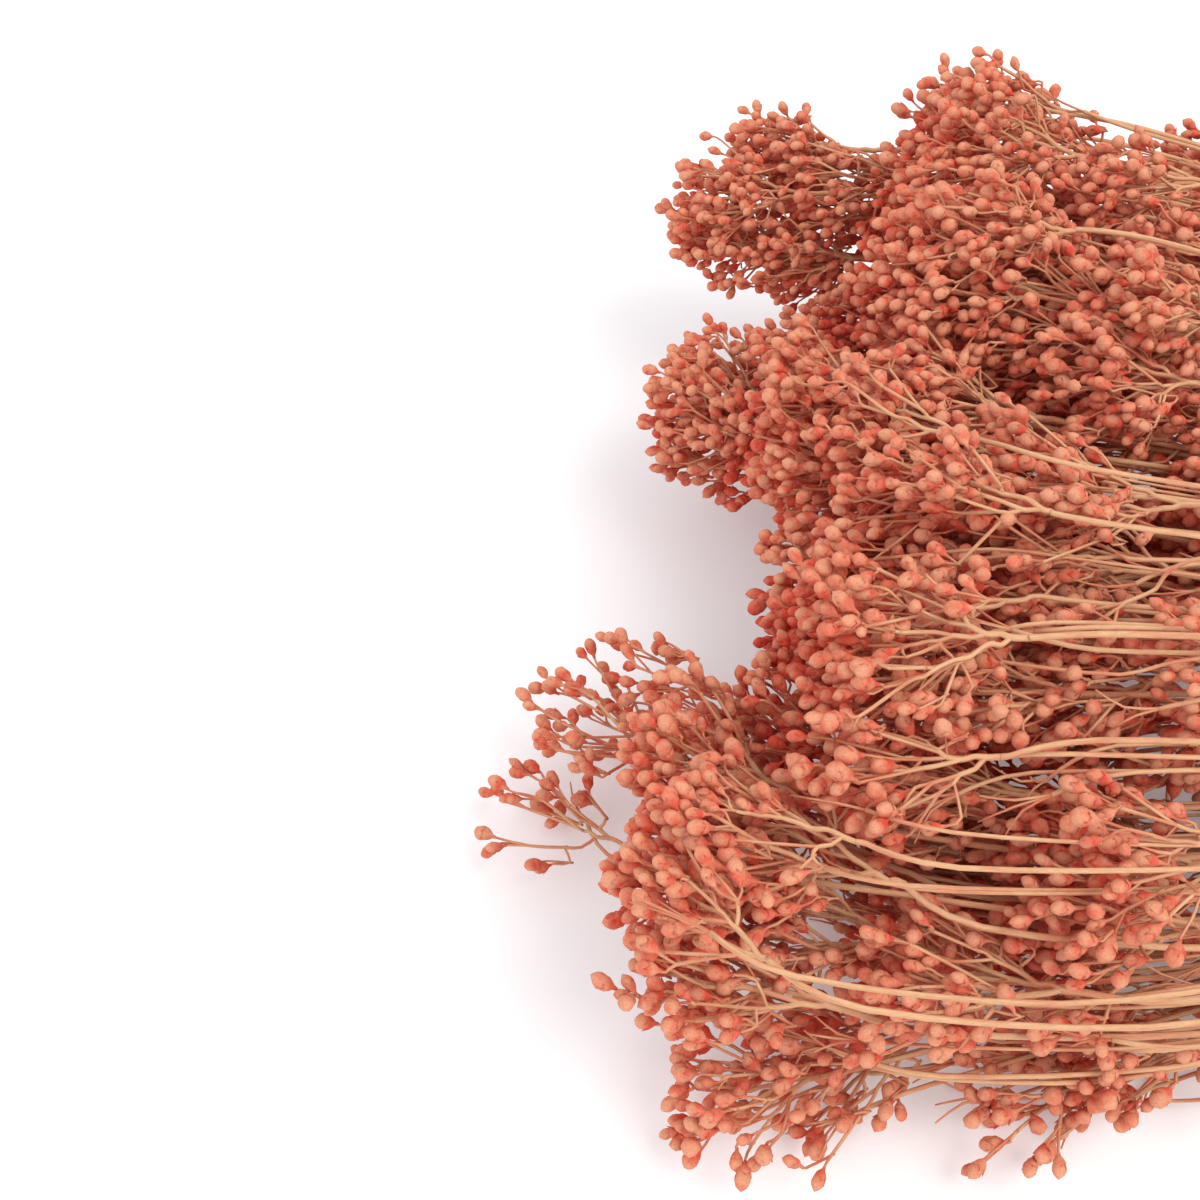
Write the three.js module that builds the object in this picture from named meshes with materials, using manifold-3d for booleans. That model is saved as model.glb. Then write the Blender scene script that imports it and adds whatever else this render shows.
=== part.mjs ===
// A dried, dyed sorghum seed head, cut with a short length of its stalk and lying on its side.
//
// The stalk ends in a rachis, the short stretch that every branch grows from. Each branch is a thin
// stem that runs forward, fans out from its neighbours and ends in a cluster of seeds on fine twigs.
// A branch is two solids here: its stem, and the outer shape of its seed cluster.
//
// Millimetres. +X runs back along the stalk to the cut end, so the seeds are at -X. +Z is up.
// The finished group is moved so that its origin is the middle of its footprint, on the surface.
import * as THREE from "three";
import { mergeVertices } from "three/addons/utils/BufferGeometryUtils.js";
import Module from "manifold-3d";

const wasm = await Module();
wasm.setup();

// ---- Driving dimensions ----
const GAP = 0.4; // clear space between solids that touch on the real head
const RACHIS_TIP = new THREE.Vector3(392, -12, 30);
const STALK_END = new THREE.Vector3(530, -16, 5.4);
const STALK_RADIUS = 5;
const RACHIS_TIP_RADIUS = 1.6;
const RACHIS_LENGTH = 74; // how far back from its tip the lowest branches leave
const NODE_SWELL = 0.9; // how far the stalk's joints stand out
const STEM_RADIUS = 1.0;
const STEM_SIDES = 6;
const STEM_STEPS = 14;
const STEM_SPACE = 0.9; // clear space kept between two stems
const STALK_SPACE = 1.7; // clear space kept between a stem and the stalk, past its swollen joints
const EASE_ROUNDS = 80;
const BUNDLE_PITCH = 1.55; // sunflower pitch of the stems where they pass the rachis tip
const CLUSTER_SIDES = 10;
const CLUSTER_PROFILE = [
  // how far along the cluster from its stem end, and its radius there as a share of the widest
  [0, 0],
  [0.05, 0.16],
  [0.3, 0.52],
  [0.55, 0.84],
  [0.75, 1],
  [0.89, 0.88],
  [0.97, 0.56],
  [1, 0],
];
const CLUSTER_FLATTEN = 0.88; // clusters are a little lower than they are wide
const LUMP = 0.1; // how uneven a cluster's outline is

// ---- The seed clusters, one for each branch ----
// at: the cluster's middle, before the head is moved to its origin. swing: degrees that its axis
// turns from -X towards +Y. pitch: degrees that its axis rises. long, wide: its length and radius.
const CLUSTERS = [
  // the near edge, from the outermost tip back
  { name: "front_left", at: [37, -66, 43], swing: 18, pitch: 6, long: 64, wide: 23 },
  { name: "front_drooping", at: [37, -81, 15], swing: -12, pitch: -4, long: 46, wide: 12 },
  { name: "front_middle", at: [54, -68, 45], swing: 6, pitch: 0, long: 62, wide: 22 },
  { name: "front_inner", at: [62, -48, 54], swing: 2, pitch: 0, long: 60, wide: 20 },
  { name: "front_right", at: [94, -58, 46], swing: -2, pitch: 0, long: 66, wide: 21 },
  { name: "front_tuft", at: [78, -83, 10], swing: -20, pitch: -4, long: 28, wide: 8 },
  { name: "front_upper", at: [38, -42, 42], swing: 24, pitch: 8, long: 58, wide: 20 },
  // the low tips that lie on the surface
  { name: "low_left", at: [22, -20, 20], swing: 30, pitch: 0, long: 74, wide: 17 },
  { name: "low_tip", at: [14, -36, 13], swing: 24, pitch: 0, long: 76, wide: 13 },
  { name: "low_middle", at: [84, -40, 20], swing: 2, pitch: 0, long: 80, wide: 22 },
  { name: "low_right", at: [106, -70, 17], swing: -4, pitch: 0, long: 70, wide: 16 },
  { name: "low_centre", at: [98, 24, 26], swing: 6, pitch: 0, long: 84, wide: 27 },
  { name: "low_far", at: [92, 88, 32], swing: 10, pitch: 0, long: 84, wide: 28 },
  { name: "low_back", at: [132, 138, 34], swing: 8, pitch: 0, long: 80, wide: 26 },
  // the crown of the head
  { name: "crown_fan", at: [61, -31, 66], swing: 0, pitch: 2, long: 54, wide: 20 },
  { name: "crown_behind", at: [66, 6, 42], swing: 10, pitch: 0, long: 58, wide: 22 },
  { name: "crown_middle", at: [80, 0, 68], swing: 8, pitch: 2, long: 66, wide: 24 },
  { name: "crown_front", at: [106, -28, 56], swing: 0, pitch: 0, long: 66, wide: 23 },
  { name: "crown_far", at: [68, 36, 60], swing: 12, pitch: 4, long: 66, wide: 24 },
  { name: "crown_right", at: [148, 8, 58], swing: 2, pitch: 0, long: 70, wide: 25 },
  { name: "crown_top", at: [97, 66, 74], swing: 10, pitch: 4, long: 70, wide: 25 },
  { name: "crown_rear", at: [124, 42, 72], swing: 6, pitch: 2, long: 70, wide: 23 },
  // the far side
  { name: "far_left", at: [53, 65, 37], swing: 30, pitch: 2, long: 80, wide: 22 },
  { name: "far_corner", at: [65, 138, 52], swing: 8, pitch: 2, long: 82, wide: 24 },
  { name: "far_top", at: [110, 110, 78], swing: 10, pitch: 5, long: 74, wide: 25 },
  { name: "far_middle", at: [134, 84, 74], swing: 8, pitch: 2, long: 74, wide: 24 },
  { name: "far_right", at: [186, 124, 62], swing: 8, pitch: 0, long: 76, wide: 25 },
  // the clusters nearest the stalk
  { name: "back_middle", at: [172, 46, 42], swing: 4, pitch: 0, long: 76, wide: 25 },
  { name: "back_front", at: [152, -38, 44], swing: -2, pitch: 0, long: 74, wide: 23 },
];

// ---- Solids from three.js geometry, and back ----

function solidOf(geometry) {
  const bare = geometry.clone();
  bare.deleteAttribute("normal");
  bare.deleteAttribute("uv");
  const merged = mergeVertices(bare, 1e-3);
  return new wasm.Manifold(
    new wasm.Mesh({
      numProp: 3,
      vertProperties: merged.attributes.position.array,
      triVerts: new Uint32Array(merged.index.array),
    }),
  );
}

function geometryOf(solid) {
  const mesh = solid.getMesh();
  return new THREE.BufferGeometry()
    .setAttribute("position", new THREE.BufferAttribute(mesh.vertProperties, 3))
    .setIndex(new THREE.BufferAttribute(mesh.triVerts, 1));
}

// A matrix that stands a shape made along +Y on a point, with +Y turned to a direction.
function standing(at, along) {
  const side = new THREE.Vector3(0, 0, 1).cross(along).normalize();
  const over = along.clone().cross(side);
  return new THREE.Matrix4().makeBasis(side, along, over.negate()).setPosition(at);
}

// ---- The stalk and its rachis ----

const stalkAxis = RACHIS_TIP.clone().sub(STALK_END);
const stalkLength = stalkAxis.length();
stalkAxis.normalize();

// The stalk's radius at a distance back from the rachis tip.
function stalkRadius(back) {
  const share = Math.min(back / RACHIS_LENGTH, 1);
  return THREE.MathUtils.lerp(RACHIS_TIP_RADIUS, STALK_RADIUS, Math.sqrt(share));
}

function makeStalk() {
  const joints = [RACHIS_LENGTH + 12, stalkLength - 22];
  const rings = [[0, 0]];
  const add = (back, extra = 0) => rings.push([stalkRadius(back) + extra, stalkLength - back]);
  add(stalkLength);
  for (const back of joints.toReversed()) {
    add(back + 3);
    add(back, NODE_SWELL);
    add(back - 3);
  }
  for (const share of [1, 0.6, 0.3, 0.1, 0]) add(RACHIS_LENGTH * share);
  rings.push([0, stalkLength]);
  const profile = rings.map(([radius, along]) => new THREE.Vector2(radius, along));
  const geometry = new THREE.LatheGeometry(profile, 14);
  return geometry.applyMatrix4(standing(STALK_END, stalkAxis));
}

// ---- The stems ----

// Two directions across the stalk, so that a place round it can be given as (across, up).
const across = new THREE.Vector3(0, 1, 0).addScaledVector(stalkAxis, -stalkAxis.y).normalize();
const upwards = across.clone().cross(stalkAxis).negate().normalize();

function clusterAxis(cluster) {
  const swing = THREE.MathUtils.degToRad(cluster.swing);
  const pitch = THREE.MathUtils.degToRad(cluster.pitch);
  return new THREE.Vector3(
    -Math.cos(swing) * Math.cos(pitch),
    Math.sin(swing) * Math.cos(pitch),
    Math.sin(pitch),
  );
}

// Where each stem passes the rachis tip: a sunflower pattern, each cluster taking the free place
// that lies nearest its own direction, the widest-spread clusters first.
function bundlePlaces() {
  const outward = CLUSTERS.map((cluster) => {
    const there = new THREE.Vector3(...cluster.at).sub(RACHIS_TIP);
    const ahead = there.dot(stalkAxis);
    return new THREE.Vector2(there.dot(across) / ahead, there.dot(upwards) / ahead);
  });
  const widest = Math.max(...outward.map((o) => o.length()));
  const golden = Math.PI * (3 - Math.sqrt(5));
  const free = CLUSTERS.map((_, k) => {
    const radius = BUNDLE_PITCH * Math.sqrt(k + 0.5);
    return new THREE.Vector2(radius * Math.cos(k * golden), radius * Math.sin(k * golden));
  });
  const bundleRadius = BUNDLE_PITCH * Math.sqrt(CLUSTERS.length);
  const places = new Array(CLUSTERS.length);
  const order = [...outward.keys()].sort((a, b) => outward[b].length() - outward[a].length());
  for (const k of order) {
    const wanted = outward[k].clone().multiplyScalar(bundleRadius / widest);
    free.sort((a, b) => a.distanceTo(wanted) - b.distanceTo(wanted));
    places[k] = free.shift();
  }
  return places;
}

// A stem leaves the side of the rachis, passes its tip in the bundle, and runs to its cluster.
function stemPath(cluster, place) {
  const spread = place.length();
  const radial = across
    .clone()
    .multiplyScalar(place.x / spread)
    .addScaledVector(upwards, place.y / spread);
  const back = 6 + ((RACHIS_LENGTH - 8) * spread) / (BUNDLE_PITCH * Math.sqrt(CLUSTERS.length));
  const base = RACHIS_TIP.clone()
    .addScaledVector(stalkAxis, -back)
    .addScaledVector(radial, stalkRadius(back) + STEM_RADIUS + GAP);
  const pass = RACHIS_TIP.clone()
    .addScaledVector(stalkAxis, 6)
    .addScaledVector(radial, Math.max(spread, RACHIS_TIP_RADIUS + STEM_RADIUS + GAP));
  const axis = clusterAxis(cluster);
  const middle = new THREE.Vector3(...cluster.at);
  const rear = middle.clone().addScaledVector(axis, -0.62 * cluster.long);
  const end = middle.clone().addScaledVector(axis, -0.12 * cluster.long);
  return new THREE.CatmullRomCurve3([base, pass, rear, end]).getSpacedPoints(STEM_STEPS);
}

// The shortest line from one straight piece to another: its two ends, and where they lie.
function shortestBetween(a, b, c, d) {
  const u = b.clone().sub(a);
  const v = d.clone().sub(c);
  const w = a.clone().sub(c);
  const [uu, uv, vv, uw, vw] = [u.dot(u), u.dot(v), v.dot(v), u.dot(w), v.dot(w)];
  const clamp = (value) => THREE.MathUtils.clamp(value, 0, 1);
  const s = clamp((uv * vw - vv * uw) / Math.max(uu * vv - uv * uv, 1e-9));
  const t = clamp((vw + s * uv) / vv);
  const onFirst = clamp((t * uv - uw) / uu);
  return { s: onFirst, t, line: w.addScaledVector(u, onFirst).addScaledVector(v, -t) };
}

// Moves two straight pieces of stem apart until there is clear space between them.
function ease(first, second, i, j) {
  const ends = [first[i], first[i + 1], second[j], second[j + 1]];
  const { s, t, line } = shortestBetween(...ends);
  const room = 2 * STEM_RADIUS + STEM_SPACE - line.length();
  if (room <= 0) return;
  const move = line.setLength(room / 2);
  const shares = [1 - s, s, t - 1, -t];
  ends.forEach((end, k) => end.addScaledVector(move, shares[k]));
}

// Moves a straight piece of stem out of the stalk.
function easeFromStalk(start, end) {
  const { s, t, line } = shortestBetween(start, end, RACHIS_TIP, STALK_END);
  const room = stalkRadius(t * stalkLength) + STEM_RADIUS + STALK_SPACE - line.length();
  if (room <= 0) return;
  const move = line.setLength(room);
  start.addScaledVector(move, 1 - s);
  end.addScaledVector(move, s);
}

// Stems never pass through each other: every crossing is eased apart.
function easeApart(paths) {
  for (let round = 0; round < EASE_ROUNDS; round++) {
    for (let a = 0; a < paths.length; a++) {
      for (let b = a + 1; b < paths.length; b++) {
        for (let i = 0; i < STEM_STEPS; i++) {
          for (let j = 0; j < STEM_STEPS; j++) ease(paths[a], paths[b], i, j);
        }
      }
      for (let i = 0; i < STEM_STEPS; i++) easeFromStalk(paths[a][i], paths[a][i + 1]);
    }
  }
  return paths.map((path) => new THREE.CatmullRomCurve3(path));
}

function makeStem(route, radius) {
  const section = new THREE.Shape();
  for (let k = 0; k < STEM_SIDES; k++) {
    const turn = (k / STEM_SIDES) * 2 * Math.PI;
    const point = [radius * Math.cos(turn), radius * Math.sin(turn)];
    if (k) section.lineTo(...point);
    else section.moveTo(...point);
  }
  return new THREE.ExtrudeGeometry(section, { steps: STEM_STEPS, extrudePath: route });
}

// ---- The seed clusters ----

// A cluster is shaped like a paintbrush: slim at its stem, then wider and wider, with a domed end.
function makeCluster(cluster, index) {
  const profile = CLUSTER_PROFILE.map(
    ([share, swell]) => new THREE.Vector2(cluster.wide * swell, cluster.long * (share - 0.5)),
  );
  const geometry = new THREE.LatheGeometry(profile, CLUSTER_SIDES);
  const points = geometry.getAttribute("position");
  for (let k = 0; k < points.count; k++) {
    const [x, y, z] = [points.getX(k), points.getY(k), points.getZ(k)];
    const turn = Math.atan2(z, x);
    const lump = 1 + LUMP * Math.sin(3 * turn + 1.7 * index) * Math.cos(y / 14 + index);
    points.setXYZ(k, x * lump, y, z * lump * CLUSTER_FLATTEN);
  }
  const at = new THREE.Vector3(...cluster.at);
  return geometry.applyMatrix4(standing(at, clusterAxis(cluster)));
}

// Cuts two overlapping clusters apart with one plane through the middle of what they share.
function part(solids, a, b) {
  const shared = solids[a].whole.intersect(solids[b].whole);
  if (shared.isEmpty()) return;
  const box = shared.boundingBox();
  const middle = new THREE.Vector3(...box.min).add(new THREE.Vector3(...box.max)).divideScalar(2);
  const normal = new THREE.Vector3(...CLUSTERS[b].at)
    .sub(new THREE.Vector3(...CLUSTERS[a].at))
    .normalize();
  const offset = normal.dot(middle);
  const there = normal.toArray();
  const back = normal.clone().negate().toArray();
  solids[a].cut = solids[a].cut.trimByPlane(back, GAP / 2 - offset);
  solids[b].cut = solids[b].cut.trimByPlane(there, GAP / 2 + offset);
}

function makeClusters(routes) {
  const solids = CLUSTERS.map((cluster, index) => {
    const whole = solidOf(makeCluster(cluster, index)).trimByPlane([0, 0, 1], 0);
    return { whole, cut: whole };
  });
  for (let a = 0; a < solids.length; a++) {
    for (let b = a + 1; b < solids.length; b++) part(solids, a, b);
  }
  const tunnels = routes.map((route) => solidOf(makeStem(route, STEM_RADIUS + GAP)));
  const stems = wasm.Manifold.union(tunnels);
  return solids.map(({ cut }) => {
    const bodies = cut.subtract(stems).decompose();
    bodies.sort((a, b) => b.volume() - a.volume());
    return geometryOf(bodies[0]);
  });
}

// ---- The whole head ----

const seedDye = new THREE.MeshStandardMaterial({ color: "#e08a6a", roughness: 0.85, metalness: 0 });
const stemDye = new THREE.MeshStandardMaterial({ color: "#d9a681", roughness: 0.75, metalness: 0 });

function named(name, geometry, material) {
  const mesh = new THREE.Mesh(geometry, material);
  mesh.name = name;
  return mesh;
}

const head = new THREE.Group();
head.add(named("stalk", makeStalk(), stemDye));
const places = bundlePlaces();
const routes = easeApart(CLUSTERS.map((cluster, k) => stemPath(cluster, places[k])));
const clusters = makeClusters(routes);
CLUSTERS.forEach((cluster, k) => {
  head.add(named(`stem_${cluster.name}`, makeStem(routes[k], STEM_RADIUS), stemDye));
  head.add(named(`seeds_${cluster.name}`, clusters[k], seedDye));
});

const box = new THREE.Box3().setFromObject(head, true);
const footprint = box.getCenter(new THREE.Vector3());
head.position.set(-footprint.x, -footprint.y, -box.min.z);

export default head;
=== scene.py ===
# A dried, dyed sorghum seed head, cut with a short length of stalk and lying on its side.
# The stalk ends in a rachis. Branches grow from it, fork into long stems, and each stem ends in a
# spray of fine twigs with a seed on every tip. Everything is in metres, in the frame of the part.
import functools
import math

import bpy
import numpy as np
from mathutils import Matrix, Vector
from mathutils.bvhtree import BVHTree


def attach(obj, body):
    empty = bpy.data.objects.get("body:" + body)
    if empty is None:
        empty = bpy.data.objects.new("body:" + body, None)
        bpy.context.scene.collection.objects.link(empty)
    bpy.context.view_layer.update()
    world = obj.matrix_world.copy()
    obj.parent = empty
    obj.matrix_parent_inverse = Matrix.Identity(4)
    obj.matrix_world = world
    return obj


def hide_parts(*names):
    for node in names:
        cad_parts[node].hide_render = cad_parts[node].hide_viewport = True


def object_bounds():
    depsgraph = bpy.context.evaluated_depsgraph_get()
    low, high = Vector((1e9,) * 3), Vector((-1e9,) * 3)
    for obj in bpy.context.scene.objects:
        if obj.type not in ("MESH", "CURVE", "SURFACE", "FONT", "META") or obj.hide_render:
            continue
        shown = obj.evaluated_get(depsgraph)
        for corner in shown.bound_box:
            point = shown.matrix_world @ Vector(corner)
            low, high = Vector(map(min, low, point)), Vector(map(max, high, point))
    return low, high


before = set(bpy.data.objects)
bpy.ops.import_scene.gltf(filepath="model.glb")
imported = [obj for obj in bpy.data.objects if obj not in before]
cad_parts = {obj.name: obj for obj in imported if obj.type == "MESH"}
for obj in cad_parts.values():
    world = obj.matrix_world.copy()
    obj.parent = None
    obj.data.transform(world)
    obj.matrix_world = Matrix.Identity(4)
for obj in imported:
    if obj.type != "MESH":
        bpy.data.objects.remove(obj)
cad_low, cad_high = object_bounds()
MM = 0.001

# ---- Dye ----
# The whole head was dipped in one salmon dye. It took unevenly: thin skins stayed pale, and a few
# undissolved specks left pinker spots. The hollows of the fine wrinkles are darkened with painted
# shade.


def feed(tree, socket, value):
    """Links a node's value to a socket, or sets a plain value there."""
    if isinstance(value, bpy.types.NodeSocket):
        tree.links.new(value, socket)
    else:
        socket.default_value = value


def add_node(tree, kind, settings=(), **inputs):
    """A shader node with its settings and its input values or links."""
    node = tree.nodes.new(kind)
    for name, value in settings:
        setattr(node, name, value)
    for name, value in inputs.items():
        feed(tree, node.inputs[name.replace("_", " ")], value)
    return node


def work_out(tree, operation, first, second, held=False):
    """The result of simple arithmetic on two values, held between 0 and 1 if asked."""
    node = add_node(tree, "ShaderNodeMath", [("operation", operation), ("use_clamp", held)])
    feed(tree, node.inputs[0], first)
    feed(tree, node.inputs[1], second)
    return node.outputs[0]


def blend_colours(tree, amount, first, second, mode="MIX"):
    """The colour between two colours."""
    mix = add_node(tree, "ShaderNodeMix", [("data_type", "RGBA"), ("blend_type", mode)])
    feed(tree, mix.inputs[0], amount)
    feed(tree, mix.inputs[6], first)
    feed(tree, mix.inputs[7], second)
    return mix.outputs[2]


def remap(tree, value, from_low, from_high, to_low=0.0, to_high=1.0):
    """A value moved from one range to another, and held inside it."""
    node = add_node(
        tree,
        "ShaderNodeMapRange",
        Value=value,
        From_Min=from_low,
        From_Max=from_high,
        To_Min=to_low,
        To_Max=to_high,
    )
    return node.outputs["Result"]


def srgb(red, green, blue):
    """A colour as a shader takes it, from the 0 to 255 values that a dyer's card gives."""
    def straight(value):
        value /= 255
        return value / 12.92 if value <= 0.04045 else ((value + 0.055) / 1.055) ** 2.4

    return (straight(red), straight(green), straight(blue), 1.0)


WRINKLES_PER_PATCH = 6.0
SPECK_COLOUR = srgb(226, 84, 96)


def make_dye_and_shade_group():
    """Takes the undyed and the full colour, and gives the uneven dye with painted shade in the hollows
    of its wrinkles, and its roughness and relief.
    """
    group = bpy.data.node_groups.new("uneven_dye_and_crease_shade", "ShaderNodeTree")
    sockets = (
        ("Place", "INPUT", "NodeSocketVector"),
        ("Thin Dye", "INPUT", "NodeSocketColor"),
        ("Full Dye", "INPUT", "NodeSocketColor"),
        ("Uptake", "INPUT", "NodeSocketFloat"),
        ("Patch Size", "INPUT", "NodeSocketFloat"),
        ("Colour", "OUTPUT", "NodeSocketColor"),
        ("Roughness", "OUTPUT", "NodeSocketFloat"),
        ("Relief", "OUTPUT", "NodeSocketFloat"),
    )
    for name, direction, kind in sockets:
        group.interface.new_socket(name, in_out=direction, socket_type=kind)
    given = group.nodes.new("NodeGroupInput").outputs
    result = group.nodes.new("NodeGroupOutput").inputs
    patches = add_node(
        group, "ShaderNodeTexNoise", Vector=given["Place"], Scale=given["Patch Size"], Detail=3.0
    ).outputs["Fac"]
    wrinkles = add_node(
        group,
        "ShaderNodeTexNoise",
        Vector=given["Place"],
        Scale=work_out(group, "MULTIPLY", given["Patch Size"], WRINKLES_PER_PATCH),
        Detail=4.0,
        Roughness=0.6,
    ).outputs["Fac"]
    blotches = remap(group, patches, 0.35, 0.65, -0.35, 0.35)
    uptake = work_out(group, "ADD", given["Uptake"], blotches, held=True)
    colour = blend_colours(group, uptake, given["Thin Dye"], given["Full Dye"])
    # painted shade: the colour is multiplied darker where the wrinkles' relief is low, in their
    # hollows
    crease_shade = remap(group, wrinkles, 0.38, 0.62, 0.62, 1.0)
    colour = blend_colours(group, 0.45, colour, crease_shade, "MULTIPLY")
    specks = remap(group, patches, 0.735, 0.77)
    colour = blend_colours(group, specks, colour, SPECK_COLOUR)
    group.links.new(colour, result["Colour"])
    group.links.new(remap(group, wrinkles, 0.3, 0.7, 0.92, 0.7), result["Roughness"])
    group.links.new(wrinkles, result["Relief"])
    return group


uneven_dye_and_crease_shade = make_dye_and_shade_group()


def dyed_material(name, thin_dye, full_dye, patch_size, relief_depth, place=None):
    """A dull, dried, dyed surface, with painted shade in the hollows of its wrinkles. Its uptake
    attribute says how much dye each place took, and on the twigs and seeds it also carries painted
    shade deeper in the pile.
    """
    material = bpy.data.materials.new(name)
    material.use_nodes = True
    tree = material.node_tree
    shader = tree.nodes["Principled BSDF"]
    if place is None:
        place = add_node(tree, "ShaderNodeTexCoord").outputs["Object"]
    else:
        place = add_node(tree, "ShaderNodeAttribute", [("attribute_name", place)]).outputs["Vector"]
    took = add_node(tree, "ShaderNodeAttribute", [("attribute_name", "uptake")])
    dye = add_node(
        tree,
        "ShaderNodeGroup",
        [("node_tree", uneven_dye_and_crease_shade)],
        Place=place,
        Thin_Dye=thin_dye,
        Full_Dye=full_dye,
        Uptake=took.outputs["Fac"],
        Patch_Size=patch_size,
    )
    bump = add_node(tree, "ShaderNodeBump", Height=dye.outputs["Relief"], Strength=0.7)
    bump.inputs["Distance"].default_value = relief_depth
    tree.links.new(dye.outputs["Colour"], shader.inputs["Base Color"])
    tree.links.new(dye.outputs["Roughness"], shader.inputs["Roughness"])
    tree.links.new(bump.outputs["Normal"], shader.inputs["Normal"])
    shader.inputs["Specular IOR Level"].default_value = 0.25
    return material


# ---- The stalk and its rachis ----
# A solid, pithy, jointed stalk, cut square by hand. Fine fibres run along it, and it thins to the
# rachis at its other end, the short stretch that the branches grow from.
STALK_RADIUS = 5 * MM
RACHIS_TIP_RADIUS = 1.6 * MM
RACHIS_LENGTH = 74 * MM
JOINT_BACK = (86 * MM, 118 * MM)
JOINT_SWELL = 0.9 * MM
JOINT_LENGTH = 1.9 * MM
NECK_DEPTH = 0.3 * MM  # of the narrow ring beside each joint
NECK_BACK = 3.2 * MM
NECK_LENGTH = 1.0 * MM
STALK_SIDES = 60
STALK_RING_STEP = 1.2 * MM
RIDGES = ((0.09 * MM, 13, 0), (0.06 * MM, 29, 1.3))  # each kind's height, number and turn
SAG_DEPTH = 0.25 * MM
SAG_LENGTH = 9 * MM
END_DEPTH = 0.8 * MM  # of the middle of each end
FRAY = 0.22 * MM
FIBRE_STRETCH = 0.05  # how little the grain changes along the stalk
STALK_UPTAKE = 0.25
PITH_UPTAKE = 0.05
CUT_SLANT = 3.5 * MM  # the corners this near the stalk's far end are those of its cut
NEAR_LEFT = (392, -12, 30)  # from the head's near left end to the rachis tip, in mm
CUT_PROFILE = (
    # across the cut from its rim: the share of the radius, and how far the pith shrank back there
    (0.98, 0),
    (0.86, 0.1 * MM),
    (0.8, 0.7 * MM),
    (0.5, 1.0 * MM),
    (0.22, 0.8 * MM),
)


def corners_of(node):
    """The places of a frame node's corners, each once."""
    places = np.array([vertex.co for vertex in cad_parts[node].data.vertices])
    return np.unique(np.round(places, 6), axis=0)


def unit(vector):
    """The vector of length 1 that points the same way."""
    return vector / np.linalg.norm(vector)


stalk_corners = corners_of("stalk")
rachis_tip = stalk_corners[np.argmin(stalk_corners[:, 0])]
cut_corners = stalk_corners[stalk_corners[:, 0] > stalk_corners[:, 0].max() - CUT_SLANT]
cut_middle = cut_corners.mean(axis=0)
stalk_axis = unit(cut_middle - rachis_tip)
stalk_length = (stalk_corners - rachis_tip).dot(stalk_axis).max()
near_left = (rachis_tip - np.array(NEAR_LEFT) * MM) * (1, 1, 0)


def skin_faces(rings, sides):
    """The triangles over rings of corners with a point at each end, and where they lie unrolled."""
    around = np.arange(sides)
    following = (around + 1) % sides
    triangles, unrolled = [], []
    for ring in range(-1, rings):
        here, there = 1 + ring * sides, 1 + (ring + 1) * sides
        # each kind of corner: which it is, and how far along and around the unrolled skin it lies
        corners = {
            "near": (here + around, ring + 1, around),
            "near_next": (here + following, ring + 1, around + 1),
            "far": (there + around, ring + 2, around),
            "far_next": (there + following, ring + 2, around + 1),
            "start": (np.full(sides, 0), 0, around + 0.5),
            "end": (np.full(sides, 1 + rings * sides), rings + 1, around + 0.5),
        }
        kinds = (("near", "near_next", "far_next"), ("near", "far_next", "far"))
        if ring == -1:
            kinds = (("start", "far_next", "far"),)
        elif ring == rings - 1:
            kinds = (("end", "near", "near_next"),)
        for kind in kinds:
            picked = [corners[corner] for corner in kind]
            triangles.append(np.stack([index for index, _, _ in picked], -1))
            flat = [np.stack([np.full(sides, along), turned], -1) for _, along, turned in picked]
            unrolled.append(np.stack(flat, 1) / (rings + 1, sides))
    return np.concatenate(triangles), np.concatenate(unrolled)


def make_mesh(name, places, triangles, material, attributes=(), bake_map=None):
    """A smooth mesh object from its corners and triangles, with values at its corners."""
    mesh = bpy.data.meshes.new(name)
    mesh.vertices.add(len(places))
    mesh.vertices.foreach_set("co", np.ascontiguousarray(places, np.float32).ravel())
    mesh.loops.add(3 * len(triangles))
    mesh.loops.foreach_set("vertex_index", np.ascontiguousarray(triangles, np.int32).ravel())
    mesh.polygons.add(len(triangles))
    mesh.polygons.foreach_set("loop_start", np.arange(0, 3 * len(triangles), 3, dtype=np.int32))
    mesh.update(calc_edges=True)
    for label, kind, values in attributes:
        layer = mesh.attributes.new(label, kind, "POINT")
        field = "vector" if kind == "FLOAT_VECTOR" else "value"
        layer.data.foreach_set(field, np.ascontiguousarray(values, np.float32).ravel())
    if bake_map is not None:
        layer = mesh.uv_layers.new(name="OFBake")
        layer.uv.foreach_set("vector", np.ascontiguousarray(bake_map, np.float32).ravel())
    mesh.shade_smooth()
    mesh.materials.append(material)
    piece = bpy.data.objects.new(name, mesh)
    bpy.context.scene.collection.objects.link(piece)
    return piece


def stalk_radius(back):
    """The stalk's radius at distances back from the rachis tip."""
    share = np.clip(back / RACHIS_LENGTH, 0, 1)
    radius = RACHIS_TIP_RADIUS + (STALK_RADIUS - RACHIS_TIP_RADIUS) * np.sqrt(share)
    for joint in JOINT_BACK:
        radius = radius + JOINT_SWELL * np.exp(-(((back - joint) / JOINT_LENGTH) ** 2))
        radius = radius - NECK_DEPTH * np.exp(-(((back - joint - NECK_BACK) / NECK_LENGTH) ** 2))
    return radius


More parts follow.
